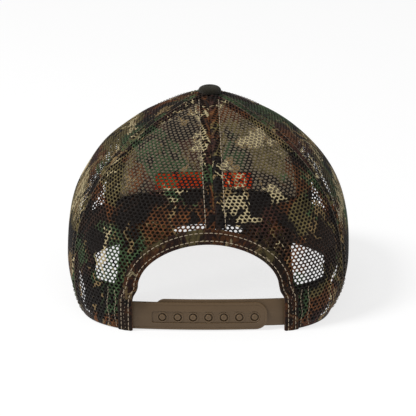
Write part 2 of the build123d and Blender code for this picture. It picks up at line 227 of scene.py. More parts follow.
def shell(name, point_at, thickness, material, rows, columns, depth=0.0, edge=0.35):
    """A closed sheet between depth and depth + thickness, from point_at(a, b, depth)."""
    a, b = np.meshgrid(np.linspace(0, 1, rows), np.linspace(0, 1, columns), indexing="ij")
    faces = [grid_faces(rows, columns)]
    top = point_at(a, b, np.full(a.shape, depth))
    count = rows * columns
    span_a = np.linalg.norm(np.diff(top[:, columns // 2], axis=0), axis=-1).sum()
    span_b = np.linalg.norm(np.diff(top[rows // 2], axis=0), axis=-1).sum()
    pull_a, pull_b = edge * thickness / max(span_a, 1e-6), edge * thickness / max(span_b, 1e-6)
    inset_a, inset_b = pull_a + a * (1 - 2 * pull_a), pull_b + b * (1 - 2 * pull_b)
    outer = point_at(inset_a, inset_b, np.full(a.shape, depth))
    inner = point_at(inset_a, inset_b, np.full(a.shape, depth + thickness))
    faces.append(grid_faces(rows, columns, count)[:, ::-1])
    index = np.arange(count).reshape(rows, columns)
    loop = np.concatenate([index[0, :-1], index[:-1, -1], index[-1, :0:-1], index[:0:-1, 0]])
    ring_a, ring_b = a.reshape(-1)[loop], b.reshape(-1)[loop]
    ring = point_at(ring_a, ring_b, np.full(ring_a.shape, depth + thickness / 2))
    rim = np.arange(len(loop)) + 2 * count
    ahead = np.roll(rim, -1)
    faces.append(np.stack([np.roll(loop, -1), loop, rim, ahead], -1))
    faces.append(np.stack([ahead, rim, loop + count, np.roll(loop, -1) + count], -1))
    points = np.concatenate([outer.reshape(-1, 3), inner.reshape(-1, 3), ring])
    return make_object(name, points, np.concatenate(faces), material)


def tube(points, radius, sides=6, flatten=1.0, normals=None):
    """Points and faces of a closed-ended tube along a line, pinched at its ends."""
    points = np.asarray(points, float)
    along = unit(np.gradient(points, axis=0))
    up = np.tile([0.0, 0.0, 1.0], (len(points), 1)) if normals is None else np.asarray(normals, float)
    side = unit(np.cross(along, up))
    up = np.cross(side, along)
    radius = np.broadcast_to(radius, len(points))
    turn = np.arange(sides) * 2 * math.pi / sides
    ring = (np.cos(turn)[None, :, None] * side[:, None] + np.sin(turn)[None, :, None] * up[:, None] * flatten)
    verts = (points[:, None] + ring * radius[:, None, None]).reshape(-1, 3)
    faces = grid_faces(len(points), sides, wrap=True).tolist()
    faces.append(list(range(sides))[::-1])
    faces.append([len(verts) - sides + k for k in range(sides)])
    return verts, faces


def distance_along(line):
    """How far along a polyline each of its points is."""
    return np.concatenate([[0], np.cumsum(np.linalg.norm(np.diff(line, axis=0), axis=-1))])


def read_at(values, length, at):
    """Rows of values known at some distances, read at other distances."""
    return np.stack([np.interp(at, length, column) for column in values.T], -1)


def resample(line, spacing):
    """Evenly spaced points along a polyline."""
    length = distance_along(line)
    return read_at(line, length, np.linspace(0, length[-1], max(int(length[-1] / spacing) + 1, 2)))


STITCH_PITCH, STITCH_LENGTH, THREAD_RADIUS = 3.1, 2.6, 0.26


def stitches(name, rows, material, radius=THREAD_RADIUS, pitch=STITCH_PITCH):
    """Rows of raised stitches; each row is (line of points, line of outward normals)."""
    verts, faces, start = [], [], 0
    shape = np.linspace(-1, 1, 6)
    for line, normals in rows:
        length = distance_along(line)
        for centre in np.arange(pitch / 2, length[-1], pitch):
            at = centre + shape * STITCH_LENGTH / STITCH_PITCH * pitch / 2
            point = read_at(line, length, at)
            normal = unit(read_at(normals, length, at))
            lift = radius * (0.75 - 1.5 * shape[:, None] ** 2)
            bulge = radius * (1 - 0.55 * shape ** 4)
            v, f = tube(point + normal * lift, bulge, 6, 0.85, normal)
            verts.append(v)
            faces += [[k + start for k in face] for face in f]
            start += len(v)
    return make_object(name, np.concatenate(verts), faces, material)


# ---------------------------------------------------------------- node materials
def linear(rgb):
    """An sRGB colour given as 0 to 255, in scene-linear values."""
    share = [c / 255 for c in rgb]
    return tuple([c / 12.92 if c <= 0.04045 else ((c + 0.055) / 1.055) ** 2.4 for c in share] + [1.0])


class Graph:
    """Short calls for building one material's node tree."""

    def __init__(self, name):
        self.material = bpy.data.materials.new(name)
        self.material.use_nodes = True
        self.tree = self.material.node_tree
        self.shader = self.tree.nodes["Principled BSDF"]

    def node(self, kind, **settings):
        node = self.tree.nodes.new(kind)
        for key, value in settings.items():
            setattr(node, key, value)
        return node

    def feed(self, socket, value):
        if isinstance(value, bpy.types.NodeSocket):
            self.tree.links.new(value, socket)
        else:
            socket.default_value = value

    def fed(self, kind, inputs, output, **settings):
        """One output of a new node whose named inputs are fed."""
        node = self.node(kind, **settings)
        for key, value in inputs.items():
            self.feed(node.inputs[key], value)
        return node.outputs[output]

    def stretched(self, vector, turn=(0, 0, 0), scale=(1, 1, 1), offset=(0, 0, 0), kind="POINT"):
        """The vector turned and moved, and drawn out along the axes whose scale is small."""
        return self.fed("ShaderNodeMapping", {"Vector": vector, "Location": offset, "Rotation": turn,
                                              "Scale": scale}, "Vector", vector_type=kind)

    def place(self, scale=(1, 1, 1), offset=(0, 0, 0)):
        """Object coordinates, scaled and moved."""
        return self.stretched(self.fed("ShaderNodeTexCoord", {}, "Object"), scale=scale, offset=offset)

    def noise(self, vector, scale, detail=2.0, rough=0.5, distortion=0.0, output="Fac"):
        return self.fed("ShaderNodeTexNoise", {"Vector": vector, "Scale": scale, "Detail": detail,
                                               "Roughness": rough, "Distortion": distortion}, output)

    def math(self, operation, a, b=0.0):
        node = self.node("ShaderNodeMath", operation=operation)
        self.feed(node.inputs[0], a)
        self.feed(node.inputs[1], b)
        return node.outputs[0]

    def vector(self, operation, a, b=(0, 0, 0), scale=None):
        node = self.node("ShaderNodeVectorMath", operation=operation)
        self.feed(node.inputs[0], a)
        self.feed(node.inputs[1], b)
        if scale is not None:
            self.feed(node.inputs["Scale"], scale)
        return node.outputs["Value" if operation in ("DISTANCE", "LENGTH") else "Vector"]

    def spread(self, value, low, high, to_low=0.0, to_high=1.0):
        """Map low..high smoothly to to_low..to_high, held at both ends."""
        return self.fed("ShaderNodeMapRange", {"Value": value, "From Min": low, "From Max": high,
                                               "To Min": to_low, "To Max": to_high}, "Result",
                        interpolation_type="SMOOTHSTEP")

    def mix(self, share, a, b, data_type="RGBA"):
        return self.fed("ShaderNodeMix", {"Factor": share, "A": a, "B": b}, "Result", data_type=data_type)

    def bump(self, height, distance, strength=1.0):
        return self.fed("ShaderNodeBump", {"Strength": strength, "Distance": distance, "Height": height},
                        "Normal")

    def finish(self, colour, roughness, normal=None, sheen=0.0, specular=0.35):
        self.feed(self.shader.inputs["Base Color"], colour)
        self.feed(self.shader.inputs["Roughness"], roughness)
        if normal is not None:
            self.feed(self.shader.inputs["Normal"], normal)
        self.shader.inputs["Sheen Weight"].default_value = sheen
        self.shader.inputs["Specular IOR Level"].default_value = specular
        return self.material


BLACK, UMBER, MAROON, RUST = (22, 17, 14), (48, 32, 22), (62, 35, 27), (100, 60, 30)
GREEN, OLIVE, TAN, CREAM = (60, 80, 50), (106, 94, 58), (156, 130, 88), (216, 198, 152)

HINT_DEPTH = 0.06

# The print's layers, from the ground up: name, colour, size (1/m), level, softness, turn.
PATCHES = (
    ("maroon", MAROON, 20.0, 0.50, 0.030, (0.2, 0.9, 0.3)),
    ("rust", RUST, 24.0, 0.54, 0.035, (0.4, 0.2, 1.1)),
    ("olive", OLIVE, 22.0, 0.58, 0.030, (0.0, 0.6, 0.5)),
    ("green", GREEN, 19.0, 0.60, 0.025, (1.1, 0.5, 0.2)),
    ("black", BLACK, 26.0, 0.61, 0.030, (0.6, 1.3, 0.8)),
)


def camo_colour(g, offset, hints=(), fine=1.0, dark=1.0, leave_out=()):
    """A generic woodland print: soft patches, brushed with streaks, under pale broken blades.

    hints are (layer, x, z, half width, half height, lean in degrees, amount) in millimetres on
    the cloth as seen from the back: places where a layer gathers. Noise decides the rest.
    """
    here = g.place((fine, fine, fine), offset=offset)
    sway = g.vector("SUBTRACT", g.noise(here, 42.0, output="Color"), (0.5, 0.5, 0.5))
    bent = g.vector("ADD", here, g.vector("SCALE", sway, scale=0.03))
    leaning = g.noise(g.stretched(bent, (0.5, 1.1, 0.2), (1.0, 1.0, 0.22)), 330.0, 3.0, 0.62)
    crossing = g.noise(g.stretched(bent, (-0.3, -0.75, 0.4), (1.0, 1.0, 0.22)), 330.0, 3.0, 0.62)
    turned = g.spread(g.noise(g.vector("ADD", here, (3.1, 0.7, 1.9)), 34.0, 1.0), 0.44, 0.56)
    streak = g.mix(turned, leaning, crossing, "FLOAT")
    ragged = g.math("MULTIPLY", g.math("SUBTRACT", streak, 0.5), 0.32)

    def gathered(layer, field):
        for name, x, z, half_wide, half_high, lean, amount in hints:
            if name == layer:
                wavering = g.vector("ADD", g.place(), g.vector("SCALE", sway, scale=0.012))
                spot = g.stretched(wavering, (0, math.radians(lean), 0),
                                   (half_wide * MM, 1.0, half_high * MM), (x * MM, HINT_DEPTH, z * MM),
                                   "TEXTURE")
                near = g.spread(g.vector("LENGTH", spot), 1.25, 0.55)
                field = g.math("ADD", field, g.math("MULTIPLY", near, amount))
        return field

    colour = linear(UMBER)
    for index, (layer, shade, scale, level, softness, turn) in enumerate(PATCHES):
        if layer in leave_out:
            continue
        moved = g.vector("ADD", bent, (0.31 * index, 0.17 * index, 0.23 * index))
        patch = g.noise(g.stretched(moved, turn, (1.0, 1.0, 0.75)), scale, 3.0, 0.55)
        field = g.math("ADD", gathered(layer, patch), ragged)
        colour = g.mix(g.spread(field, level - softness, level + softness), colour, linear(shade))
    speckle = g.noise(here, 1100.0, 2.0, 0.7)
    light = g.math("ADD", g.spread(streak, 0.34, 0.66, 0.45, 1.35), g.spread(speckle, 0.3, 0.7, -0.2, 0.2))
    colour = g.vector("SCALE", colour, scale=light)
    for index, (shade, scale, turn, cluster_level) in enumerate((
            (BLACK, 210.0, (0.2, 0.4, 0.9), 0.55), (TAN, 190.0, (0.3, -0.9, 0.1), 0.60),
            (CREAM, 180.0, (-0.2, 0.8, 0.3), 0.64), (CREAM, 200.0, (0.9, -0.3, 0.3), 0.65))):
        moved = g.vector("ADD", bent, (1.7 + 0.4 * index, 0.9, 0.6 * index))
        blades = g.noise(g.stretched(moved, turn, (1.0, 1.0, 0.2)), scale, 2.0, 0.5, 0.5)
        cluster = g.noise(moved, 36.0, 2.0, 0.5)
        if shade is not BLACK:
            cluster = gathered("pale", cluster)
        favour = g.spread(cluster, cluster_level - 0.05, cluster_level + 0.1, -0.06, 0.03)
        blades = g.math("ADD", blades, favour)
        share = g.math("MULTIPLY", g.spread(blades, 0.545, 0.575),
                       g.spread(cluster, cluster_level - 0.05, cluster_level))
        blade = g.mix(g.spread(speckle, 0.35, 0.65), linear(shade), linear([c * 0.72 for c in shade]))
        colour = g.mix(share, colour, blade)
    return g.vector("SCALE", colour, scale=dark) if dark != 1.0 else colour


def mesh_material(name, offset, hints=()):
    """Printed polyester mesh with painted shade: the colour darkens down the holes' sides and on the knit's
    inner face.
    """
    g = Graph(name)
    colour = camo_colour(g, offset, hints)
    fibre = g.noise(g.place((1, 1, 0.35)), 2600.0, 2.0, 0.6)
    colour = g.mix(g.spread(fibre, 0.35, 0.75, 0.30, 0.0), colour, linear((26, 20, 17)))
    # painted shade: the yarn is darkened down into the holes and on the inner face, read from a per-point
    # shade attribute
    depth = g.node("ShaderNodeAttribute", attribute_name="knit_hole_shade")
    colour = g.mix(g.spread(depth.outputs["Fac"], 0.1, 0.9, 0.0, 0.85), colour, linear((22, 16, 13)))
    height = g.math("ADD", fibre, g.noise(g.place(), 900.0, 1.0))
    rough = g.spread(fibre, 0.3, 0.7, 0.55, 0.72)
    return g.finish(colour, rough, g.bump(height, 0.00012, 0.6), sheen=0.04, specular=0.12)


def weave(g, pitch):
    """Height of a plain weave with threads along X and Z, its pitch in millimetres."""
    split = g.node("ShaderNodeSeparateXYZ")
    g.feed(split.inputs[0], g.place())
    count = 2 * math.pi / (pitch * MM)
    waves = [g.math("SINE", g.math("MULTIPLY", split.outputs[axis], count)) for axis in "XZ"]
    return g.math("MULTIPLY", *waves)


def cloth_material(name, base=None, accent=None, offset=(0, 0, 0), pitch=0.8, sheen=0.06, fine=1.0,
                   dark=1.0, leave_out=()):
    """Woven cloth: plain in two near colours, or printed when no base colour is given."""
    g = Graph(name)
    if base is None:
        colour = camo_colour(g, offset, (), fine, dark, leave_out)
    else:
        colour = g.mix(g.spread(g.noise(g.place(), 90.0, 3.0, 0.6), 0.35, 0.7), linear(base), linear(accent))
    threads = weave(g, pitch)
    # painted shade: darker in the weave's hollows between the threads
    colour = g.mix(g.spread(threads, -1.0, 0.6, 0.28, 0.0), colour, linear((18, 14, 12)))
    fuzz = g.noise(g.place(), 1500.0, 2.0, 0.7)
    height = g.math("ADD", threads, g.math("MULTIPLY", fuzz, 0.8))
    return g.finish(colour, g.spread(fuzz, 0.3, 0.7, 0.75, 0.92), g.bump(height, 0.00015, 0.7), sheen=sheen,
                    specular=0.15)


def thread_material(name, colour):
    g = Graph(name)
    twist = g.node("ShaderNodeTexWave", wave_type="BANDS", bands_direction="DIAGONAL")
    g.feed(twist.inputs["Vector"], g.place())
    twist.inputs["Scale"].default_value = 900.0
    twist.inputs["Distortion"].default_value = 1.0
    tint = g.mix(g.noise(g.place(), 160.0, 2.0), linear(colour), linear([c * 0.8 for c in colour]))
    tint = g.mix(g.math("MULTIPLY", twist.outputs["Fac"], 0.25), tint, linear([c * 0.55 for c in colour]))
    return g.finish(tint, 0.6, g.bump(twist.outputs["Fac"], 0.00006), sheen=0.2)


def plastic_material(name, colour, highlight_colour):
    """Satin moulded plastic with fine grain and flow marks, with a painted highlight that lightens its convex
    edges.
    """
    g = Graph(name)
    flow = g.noise(g.place((0.4, 1, 1)), 60.0, 3.0, 0.55)
    tint = g.mix(g.spread(flow, 0.3, 0.7), linear(colour), linear([c * 0.93 for c in colour]))
    # painted highlight: convex edges, found by pointiness, are mixed towards a lighter colour
    geometry = g.node("ShaderNodeNewGeometry")
    edge_highlight = g.spread(geometry.outputs["Pointiness"], 0.505, 0.56, 0.0, 0.5)
    tint = g.mix(edge_highlight, tint, linear(highlight_colour))
    grain = g.noise(g.place(), 1800.0, 2.0, 0.6)
    scuff = g.noise(g.place((0.25, 1, 2.5)), 420.0, 2.0, 0.6)
    rough = g.math("ADD", g.spread(scuff, 0.3, 0.75, 0.34, 0.46), g.math("MULTIPLY", flow, 0.04))
    return g.finish(tint, rough, g.bump(grain, 0.00003, 0.5), specular=0.3)


LEFT_HINTS = (
    ("green", 32, 101, 27, 11, -35, 0.42), ("black", 14, 117, 13, 8, -30, 0.25),
    ("pale", 5, 109, 5, 6, 0, 0.2), ("maroon", 20, 117, 12, 6, -20, 0.3),
    ("black", 22, 112, 10, 5, -25, 0.22), ("rust", 50, 74, 12, 24, 10, 0.30),
    ("pale", 19, 74, 14, 16, 15, 0.17), ("black", 12, 84, 8, 8, 0, 0.18),
    ("black", 70, 52, 7, 7, 0, 0.35), ("green", 62, 24, 11, 15, 0, 0.42),
    ("maroon", 36, 89, 20, 7, 10, 0.3), ("rust", 44, 112, 22, 5, -38, 0.3),
    ("pale", 62, 92, 5, 14, -35, 0.16), ("rust", 56, 25, 6, 14, 0, 0.25),
    ("rust", 38, 66, 18, 12, 0, 0.32), ("olive", 58, 84, 8, 12, 0, 0.25),
    ("maroon", 28, 116, 22, 6, -32, 0.38),
)
RIGHT_HINTS = (
    ("green", -17, 99, 7, 12, 20, 0.42), ("olive", -35, 99, 16, 15, 25, 0.36),
    ("pale", -32, 109, 16, 4, 14, 0.17), ("pale", -15, 84, 12, 18, 25, 0.17),
    ("maroon", -38, 76, 18, 17, 0, 0.36), ("rust", -52, 84, 9, 14, 0, 0.26),
    ("olive", -56, 68, 8, 12, 0, 0.28), ("black", -20, 72, 12, 7, 20, 0.22),
    ("black", -60, 108, 14, 8, 35, 0.22), ("green", -55, 24, 8, 14, 0, 0.42),
    ("olive", -66, 30, 6, 12, 0, 0.3), ("rust", -68, 20, 12, 10, 10, 0.25),
    ("pale", -60, 60, 4, 8, 0, 0.14), ("rust", -8, 118, 8, 5, 0, 0.2), ("black", -5, 92, 7, 9, 0, 0.2),
    ("rust", -30, 116, 20, 7, 28, 0.35), ("maroon", -16, 117, 11, 6, 0, 0.35),
)
SIDE_LEFT_HINTS = (
    ("olive", 52, 108, 26, 10, -40, 0.28), ("pale", 50, 108, 20, 4, -42, 0.2),
    ("rust", 68, 92, 12, 6, -40, 0.2), ("olive", 82, 62, 8, 20, -10, 0.28),
    ("pale", 80, 68, 4, 16, -15, 0.2), ("black", 84, 40, 6, 12, 0, 0.25),
    ("pale", 86, 30, 4, 10, 0, 0.15), ("maroon", 38, 114, 12, 5, -35, 0.3),
)
SIDE_RIGHT_HINTS = (
    ("maroon", -58, 104, 20, 10, 38, 0.3), ("pale", -66, 90, 4, 12, 35, 0.18),
    ("olive", -72, 78, 6, 14, 25, 0.25), ("rust", -80, 60, 6, 16, 10, 0.25),
    ("pale", -82, 66, 3, 14, 12, 0.18), ("black", -84, 36, 6, 12, 0, 0.25),
    ("olive", -40, 114, 12, 5, 35, 0.2),
)
PRINT_CLOTH = cloth_material("printed_twill", offset=(2.1, 0.7, 0.3), pitch=0.7)
VISOR_CLOTH = cloth_material("printed_twill_visor", offset=(3.1, 0.2, 1.3), pitch=0.7)
BINDING_CLOTH = cloth_material("printed_binding", offset=(4.4, 1.7, 0.9), pitch=1.1, sheen=0.03, fine=1.6,
                               dark=0.42, leave_out=("green", "black"))
LINING = cloth_material("lining", (178, 162, 138), (162, 146, 122), pitch=1.0)
TAPE_CLOTH = cloth_material("seam_tape", (40, 31, 26), (28, 22, 19), pitch=0.9)
TAPE_EDGE = cloth_material("binding_edge", (92, 62, 42), (70, 48, 34), pitch=0.6, sheen=0.03)
BAND_CLOTH = cloth_material("sweatband_twill", (36, 27, 22), (27, 21, 18), pitch=0.9)
LABEL_CLOTH = cloth_material("label_cloth", (255, 84, 26), (246, 70, 20), pitch=0.6)
BUTTON_CLOTH = cloth_material("button_satin", (38, 34, 20), (29, 26, 16), pitch=0.35, sheen=0.12)
THREAD = thread_material("beige_thread", (184, 165, 138))
DARK_THREAD = thread_material("brown_thread", (104, 86, 62))
STRAP_PLASTIC = plastic_material("strap_plastic", (92, 73, 51), (116, 94, 68))
METAL = plastic_material("rivet_metal", (140, 134, 124), (180, 176, 168))
METAL.node_tree.nodes["Principled BSDF"].inputs["Metallic"].default_value = 1.0


# ---------------------------------------------------------------- perforated mesh panels
CELL_WIDTH, ROW_PITCH = 2.95, 2.1
HOLE_SHARE, SHUT_SHARE, HOLE_WOBBLE = 0.585, 0.04, 0.07
ARCH_CLEARANCE = 1.5
# The knit closes up where the rim curls under at the rear corners.
CURL_CLOSING, CURL_TOP, CURL_FADE, CURL_SPREAD = 0.55, 30.0, 12.0, math.radians(28.0)


class PanelMap:
    """Turns distances on one panel's cloth, s across and t up, into (phi, v)."""

    def __init__(self, phi_from, phi_to, columns=141):
        levels = np.linspace(0, 1, 241)
        start, end = seam_azimuth(phi_from, levels), seam_azimuth(phi_to, levels)
        azimuths = start[:, None] + (end - start)[:, None] * np.linspace(0, 1, columns)
        points = bare_crown(azimuths, levels[:, None])
        across = np.stack([distance_along(row) for row in points])
        across -= across[:, [columns // 2]]
        self.levels, self.across = levels, across
        self.up = distance_along(points[:, columns // 2])
        self.height = self.up[-1]
        self.samples = np.linspace(across.min(), across.max(), 400)
        self.azimuths = np.stack([np.interp(self.samples, row, angles)
                                  for row, angles in zip(across, azimuths)])

    def limits(self, t):
        """The least and greatest s at a height."""
        v = np.interp(t, self.up, self.levels)
        return np.interp(v, self.levels, self.across[:, 0]), np.interp(v, self.levels, self.across[:, -1])

    def hold(self, s, t):
        """Cloth distances held inside the panel."""
        t = np.clip(t, 0, self.height)
        return np.clip(s, *self.limits(t)), t

    def locate(self, s, t):
        v = np.interp(t, self.up, self.levels)
        level = v * (len(self.levels) - 1)
        low = np.minimum(level.astype(int), len(self.levels) - 2)
        first, last, most = self.samples[0], self.samples[-1], len(self.samples) - 1
        column = np.clip((s - first) / (last - first) * most, 0, most - 0.001)
        left = column.astype(int)
        part, share, table = column - left, level - low, self.azimuths
        low_row = table[low, left] * (1 - part) + table[low, left + 1] * part
        high_row = table[low + 1, left] * (1 - part) + table[low + 1, left + 1] * part
        return low_row * (1 - share) + high_row * share, v


def inside_arch(phi, v, grow):
    """Whether places on the back of the crown lie inside the rear opening grown by a width."""
    point = bare_crown(phi, v)
    x, z = np.abs(point[..., 0]), point[..., 2]
    rise = np.clip(z - ARCH_SPRING, 0, None) / (ARCH_RISE + grow)
    arch = (x / (ARCH_HALF_WIDTH + grow)) ** 2 + rise ** 2 < 1
    return (point[..., 1] > 0) & np.where(z < ARCH_SPRING, x < HEM_HALF_WIDTH + grow, arch)


def knit_cells(panel, with_arch):
    """Where the knit's holes lie on the cloth, in a brick pattern."""
    rows = int(panel.height / ROW_PITCH) + 1
    half = int(np.abs(panel.across).max() / CELL_WIDTH) + 2
    j, i = np.meshgrid(np.arange(rows), np.arange(-half, half + 1), indexing="ij")
    s, t = ((i + 0.5 * (j % 2)) * CELL_WIDTH).ravel(), (j * ROW_PITCH).ravel()
    low, high = panel.limits(t)
    keep = (s > low - 0.3 * CELL_WIDTH) & (s < high + 0.3 * CELL_WIDTH)
    s, t = s[keep], t[keep]
    if with_arch:
        keep = ~inside_arch(*panel.locate(s, t), ARCH_CLEARANCE)
        s, t = s[keep], t[keep]
    return s, t


def hole_share(panel, s, t, cut):
    """Each hole's size as a share of its cell: shut where the panel's edge cuts the cell."""
    phi, v = panel.locate(s, t)
    height = bare_crown(phi, v)[..., 2]
    curled = np.exp(-((np.abs(phi) - CORNER_AZIMUTH) / CURL_SPREAD) ** 2)
    curled = curled * np.clip((CURL_TOP - height) / CURL_FADE, 0, 1)
    wobble = 1 + HOLE_WOBBLE * np.sin(s * 12.9 + t * 78.2) * np.cos(s * 3.7)
    return np.where(cut, SHUT_SHARE, HOLE_SHARE) * wobble * (1 - CURL_CLOSING * curled)


def perforated_panel(name, phi_from, phi_to, material, with_arch=False):
    """A panel of knitted mesh: a brick pattern of six-sided holes between rounded threads."""
    panel = PanelMap(phi_from, phi_to)
    centre_s, centre_t = knit_cells(panel, with_arch)
    corner_s = np.array([0, 0.5, 0.5, 0, -0.5, -0.5]) * CELL_WIDTH
    corner_t = np.array([2, 1, -1, -2, -1, 1]) / 3 * ROW_PITCH
    outer_s, outer_t = centre_s[:, None] + corner_s, centre_t[:, None] + corner_t
    low, high = panel.limits(np.clip(outer_t, 0, panel.height))
    cut = ((outer_s < low + 0.2) | (outer_s > high - 0.2) | (outer_t < 0.8)
           | (outer_t > panel.height - 0.5)).any(axis=1)

    def ring(share, height):
        """One corner ring of every cell, at a height over the middle of the cloth."""
        s, t = panel.hold(centre_s[:, None] + corner_s * share[:, None],
                          centre_t[:, None] + corner_t * share[:, None] * 1.04)
        s, t = s.ravel(), t.ravel()
        return crown(*panel.locate(s, t), MESH_THICKNESS / 2 - height), np.stack([s, t], -1)

    full, cells = np.ones(len(centre_s)), len(centre_s)
    top_points, _ = ring(full, 0.34)
    slope_points, slope_cloth = ring(np.where(cut, 0.5, 0.5 * (1 + HOLE_SHARE)), 0.26)
    rim_points, rim_cloth = ring(hole_share(panel, centre_s, centre_t, cut), 0.0)
    bottom_points, _ = ring(full, -0.34)

    # Neighbouring cells share the corners of their outer rings.
    flat = np.stack(panel.hold(outer_s, outer_t), -1).reshape(-1, 2)
    key = np.round(flat[:, 0] * 50).astype(np.int64) * 1000003 + np.round(flat[:, 1] * 50).astype(np.int64)
    _, first, merged = np.unique(key, return_index=True, return_inverse=True)
    shared, size = len(first), cells * 6
    verts = np.concatenate([top_points[first], bottom_points[first], slope_points, rim_points])
    cloth = np.concatenate([flat[first], flat[first], slope_cloth, rim_cloth])
    top = merged.reshape(cells, 6)
    slope = np.arange(size).reshape(cells, 6) + 2 * shared

    def band(a, b):
        return np.stack([a, b, np.roll(b, -1, axis=1), np.roll(a, -1, axis=1)], -1).reshape(-1, 4)

    upper = np.concatenate([band(top, slope), band(slope, slope + size)])
    lower = band(slope + size, top + shared)
    faces = np.concatenate([upper, lower])
    side = np.concatenate([np.zeros(len(upper)), np.ones(len(lower))])
    good = (faces[:, 0] != faces[:, 3]) & (faces[:, 1] != faces[:, 2])
    faces, side = faces[good], side[good]
    piece = make_object(name, verts, faces, material)
    # painted shade for the knit's material: 0 on the outer face, 0.12 part way down, 1 at the holes' edges,
    # 0.6 on the inner face
    hole_shade_layer = piece.data.attributes.new("knit_hole_shade", "FLOAT", "POINT")
    shade = np.concatenate([np.zeros(shared), np.full(shared, 0.6), np.full(size, 0.12), np.ones(size)])
    hole_shade_layer.data.foreach_set("value", shade.astype(np.float32))
    lay_uv(piece, cloth, faces, side)
    return piece


def lay_uv(piece, cloth, faces, side):
    """The baking layout: the cloth laid flat, its outer face on the left and its inner on the right."""
    low = cloth.min(axis=0)
    width, height = cloth.max(axis=0) - low
    scale = 0.96 / max(width * 2, height)
    flat = (cloth - low) * scale + 0.01
    corners = flat[faces.reshape(-1)].reshape(-1, 4, 2)
    corners[..., 0] += side[:, None] * 0.5
    layer = piece.data.uv_layers.new(name="OFBake")
    layer.data.foreach_set("uv", corners.reshape(-1))


def add(piece, slot, *nodes):
    """Put a piece on the crown, in the place of the CAD nodes that it stands for."""
    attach(piece, "crown")
    if nodes:
        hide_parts(*nodes)


PANELS = (
    ("back_mesh_left", 0.0, REAR_SEAM, True, (0.0, 0.0, 0.0), LEFT_HINTS),
    ("back_mesh_right", -REAR_SEAM, 0.0, True, (0.37, 0.1, 0.2), RIGHT_HINTS),
    ("side_mesh_left", REAR_SEAM, FRONT_SEAM, False, (0.8, 0.4, 0.1), SIDE_LEFT_HINTS),
    ("side_mesh_right", -FRONT_SEAM, -REAR_SEAM, False, (1.3, 0.2, 0.6), SIDE_RIGHT_HINTS),
)
for panel_name, start, end, arched, offset, hints in PANELS:
    printed = mesh_material("mesh_print_" + panel_name.replace("_mesh", ""), offset, hints)
    add(perforated_panel("knit_" + panel_name, start, end, printed, arched), "mesh", panel_name)


# ---------------------------------------------------------------- solid cloth of the crown
def front_place(a, b):
    return FRONT_SEAM + (2 * math.pi - 2 * FRONT_SEAM) * a, b


add(sheet("front_panel_cloth", front_place, MESH_THICKNESS, PRINT_CLOTH, 97, 81), "printed_cloth",
    "front_panel")

TAPE_WIDTH, TAPE_THICKNESS, TAPE_DEPTH = 13.0, 0.7, 1.02
TAPE_TOP = 0.932
LINING_GAP, LINING_THICKNESS, LINING_DEPTH = 0.4, 1.2, 1.0


def beside(seam, v, distance, limit):
    """The azimuth at a distance from a seam along the cloth."""
    here = seam_azimuth(seam, v)
    middle = bare_crown(here, v)
    radius = np.hypot(middle[..., 0], middle[..., 1])
    return here + np.arcsin(np.clip(distance / radius, -limit, limit))


def lining_place(a, b):
    """The lining reaches from one front seam's tape to the other's."""
    v = TAPE_TOP * b
    start = beside(FRONT_SEAM, v, TAPE_WIDTH / 2 + LINING_GAP, 0.7)
    return start + (2 * math.pi - 2 * start) * a, v


add(sheet("front_panel_lining", lining_place, LINING_THICKNESS, LINING, 81, 61, depth=LINING_DEPTH), "lining",
    "front_panel_backing")


def seam_tape(side, seam, z_from=None):
    """A tape of constant width on the inside of a seam, from the rim to the button's disc."""
    def place(a, b):
        start = 0.0 if z_from is None else v_at_height(np.array(seam), z_from)
        v = start + (TAPE_TOP - start) * b
        return beside(seam, v, (a - 0.5) * TAPE_WIDTH, 0.95), v
    tape = sheet("tape_" + side, place, TAPE_THICKNESS, TAPE_CLOTH, 9, 61, depth=TAPE_DEPTH)
    add(tape, "tape", side + "_seam_tape")


SIDE_SEAMS = (("rear_left", REAR_SEAM), ("rear_right", -REAR_SEAM),
              ("front_left", FRONT_SEAM), ("front_right", -FRONT_SEAM))
seam_tape("back", 0.0, z_from=63.6)
for side, seam in SIDE_SEAMS:
    seam_tape(side, seam)


# ---------------------------------------------------------------- sweatband
BAND_HEIGHT, BAND_END, BAND_ARCH = 26.0, math.radians(31.2), 30.0
BAND_DEPTH, BAND_THICKNESS, BAND_FOOT = 2.45, 1.6, 0.3
BAND_END_RISE, BAND_SWELL = 1.8, 0.7
BAND_LEAN, BAND_UNEVEN = 13.0, 1.0
BAND_LEAN_AZIMUTH, BAND_LEAN_SPREAD = math.radians(68.0), math.radians(22.0)
BAND_HUG, BAND_HUG_AZIMUTH, BAND_HUG_SPREAD = 0.95, math.radians(97.0), math.radians(14.0)


def band_point(a, b, depth):
    """The sweatband: b runs up it, and it swells between its two rows of stitching."""
    phi = BAND_END + (2 * math.pi - 2 * BAND_END) * a
    rim = rim_height(phi)
    across = plan_radius(phi) * np.sin(phi)
    arch = np.where(np.cos(phi) < 0, FRONT_RIM_RISE * np.exp(-(across / BAND_ARCH) ** 4), 0.0)
    foot = BAND_FOOT + np.minimum(arch, rim)
    top = rim + BAND_HEIGHT + BAND_END_RISE * np.exp(-(np.minimum(a, 1 - a) / 0.05) ** 2)
    v = v_at_height(phi, foot + (top - foot) * b)
    from_back = math.pi - np.abs(math.pi - phi)
    corner_lean = BAND_LEAN + BAND_UNEVEN * np.tanh(4 * (math.pi - phi))
    lean = corner_lean * np.exp(-((from_back - BAND_LEAN_AZIMUTH) / BAND_LEAN_SPREAD) ** 2) * (0.1 + 0.9 * b)
    lean = lean - BAND_HUG * np.exp(-((from_back - BAND_HUG_AZIMUTH) / BAND_HUG_SPREAD) ** 2)
    swell = BAND_SWELL * np.sin(np.pi * np.clip((b - 0.08) / 0.84, 0, 1)) ** 0.6
    ripple = 0.5 * np.sin(phi * 23) * b + 0.4 * np.sin(phi * 41 + 1) * b * b
    inner = depth > BAND_DEPTH + BAND_THICKNESS / 3
    return crown(phi, v, lean + ripple + np.where(inner, depth + swell, depth))


add(shell("sweatband_roll", band_point, BAND_THICKNESS, BAND_CLOTH, 241, 17, depth=BAND_DEPTH, edge=0.5),
    "sweatband", "sweatband")


